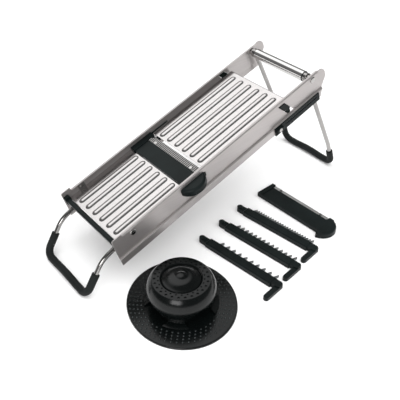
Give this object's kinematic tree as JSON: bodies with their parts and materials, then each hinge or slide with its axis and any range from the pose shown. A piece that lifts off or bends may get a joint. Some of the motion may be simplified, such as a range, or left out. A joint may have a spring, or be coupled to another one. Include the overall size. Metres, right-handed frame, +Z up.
{
  "type": "mandoline slicer",
  "caption": "Folding-leg steel mandoline slicer with sliding infeed deck, slide-in wavy blade, spare straight blade, julienne combs and round hand guard.",
  "frame": {"origin": "centre of the whole set's footprint on the table, at table height", "axes": "+X from the low outfeed end to the high infeed end, +Y towards the far side rail, away from the loose blades and the guard, +Z up"},
  "size_m": [0.505, 0.2884, 0.2107],
  "materials": {
    "steel_sheet": "satin",
    "polished_steel": "polished",
    "small_steel": "polished",
    "blade_steel": "ground",
    "black_plastic": "fine satin",
    "guard_plastic": "semi-gloss",
    "black_rubber": "matte"
  },
  "bodies": {
    "frame": {"near_side_rail": "steel_sheet", "far_side_rail": "steel_sheet", "outfeed_deck": "steel_sheet", "deck_rivets": "small_steel", "front_cross_bar": "black_plastic", "near_blade_seat": "black_plastic", "far_blade_seat": "black_plastic", "seat_studs": "small_steel", "front_leg_pivots": "small_steel", "front_leg_washers": "small_steel", "rear_cross_rod": "small_steel", "rear_rod_screws": "small_steel", "rear_rod_spacers": "small_steel", "handle_tube": "polished_steel", "handle_end_plugs": "black_plastic"},
    "infeed": {"infeed_deck": "steel_sheet", "setting_pins": "small_steel", "slot_blocks": "black_plastic", "guide_pins": "small_steel"},
    "thickness_setting": {"thickness_bar": "black_plastic", "thickness_knob": "black_plastic", "knob_screw": "small_steel"},
    "front_leg": {"front_leg_wire": "polished_steel", "front_leg_sleeve": "black_rubber"},
    "rear_leg": {"rear_leg_wire": "polished_steel", "rear_leg_sleeve": "black_rubber"},
    "wavy_cassette": {"wavy_cassette_carrier": "black_plastic", "wavy_cassette_grip": "black_plastic", "wavy_blade": "blade_steel", "wavy_blade_rivets": "small_steel"},
    "straight_cassette": {"straight_cassette_carrier": "black_plastic", "straight_cassette_grip": "black_plastic", "straight_blade": "blade_steel", "straight_blade_rivets": "small_steel"},
    "coarse_comb": {"coarse_comb_bar": "black_plastic", "coarse_comb_teeth": "blade_steel"},
    "medium_comb": {"medium_comb_bar": "black_plastic", "medium_comb_teeth": "blade_steel"},
    "fine_comb": {"fine_comb_bar": "black_plastic", "fine_comb_teeth": "blade_steel"},
    "guard": {"guard_body": "guard_plastic"},
    "pusher": {"pusher_cap": "guard_plastic", "pusher_plate": "guard_plastic", "pusher_screw": "small_steel", "pusher_prongs": "small_steel"}
  },
  "joints": [
    {"name": "front_leg_fold", "type": "hinge", "parent": "frame", "child": "front_leg", "pos_m": [-0.18022, 0.0754, 0.06999], "axis": [0, -1, 0], "range_deg": [0, 150]},
    {"name": "rear_leg_fold", "type": "hinge", "parent": "frame", "child": "rear_leg", "pos_m": [0.15316, 0.0754, 0.1984], "axis": [0, 1, 0], "range_deg": [0, 28]},
    {"name": "infeed_deck_setting", "type": "slide", "parent": "frame", "child": "infeed", "axis": [0.7885, 0, -0.615], "range_m": [0, 0.01]},
    {"name": "thickness_bar_slide", "type": "slide", "parent": "frame", "child": "thickness_setting", "axis": [0.9461, 0, 0.3239], "range_m": [0, 0.0055]},
    {"name": "wavy_cassette_slide", "type": "slide", "parent": "frame", "child": "wavy_cassette", "axis": [0, -1, 0], "range_m": [0, 0.16]},
    {"name": "guard_lift", "type": "slide", "parent": "frame", "child": "guard", "axis": [0, 0, 1], "range_m": [0, 0.03]},
    {"name": "pusher_slide", "type": "slide", "parent": "guard", "child": "pusher", "axis": [0, 0, 1], "range_m": [0, 0.012]},
    {"name": "coarse_comb_lift", "type": "slide", "parent": "frame", "child": "coarse_comb", "axis": [0, 0, 1], "range_m": [0, 0.03]},
    {"name": "medium_comb_lift", "type": "slide", "parent": "frame", "child": "medium_comb", "axis": [0, 0, 1], "range_m": [0, 0.03]},
    {"name": "fine_comb_lift", "type": "slide", "parent": "frame", "child": "fine_comb", "axis": [0, 0, 1], "range_m": [0, 0.03]},
    {"name": "straight_cassette_lift", "type": "slide", "parent": "frame", "child": "straight_cassette", "axis": [0, 0, 1], "range_m": [0, 0.03]}
  ],
  "couplings": [
    {"joint": "thickness_bar_slide", "follows": "infeed_deck_setting", "ratio": 0.54679}
  ]
}
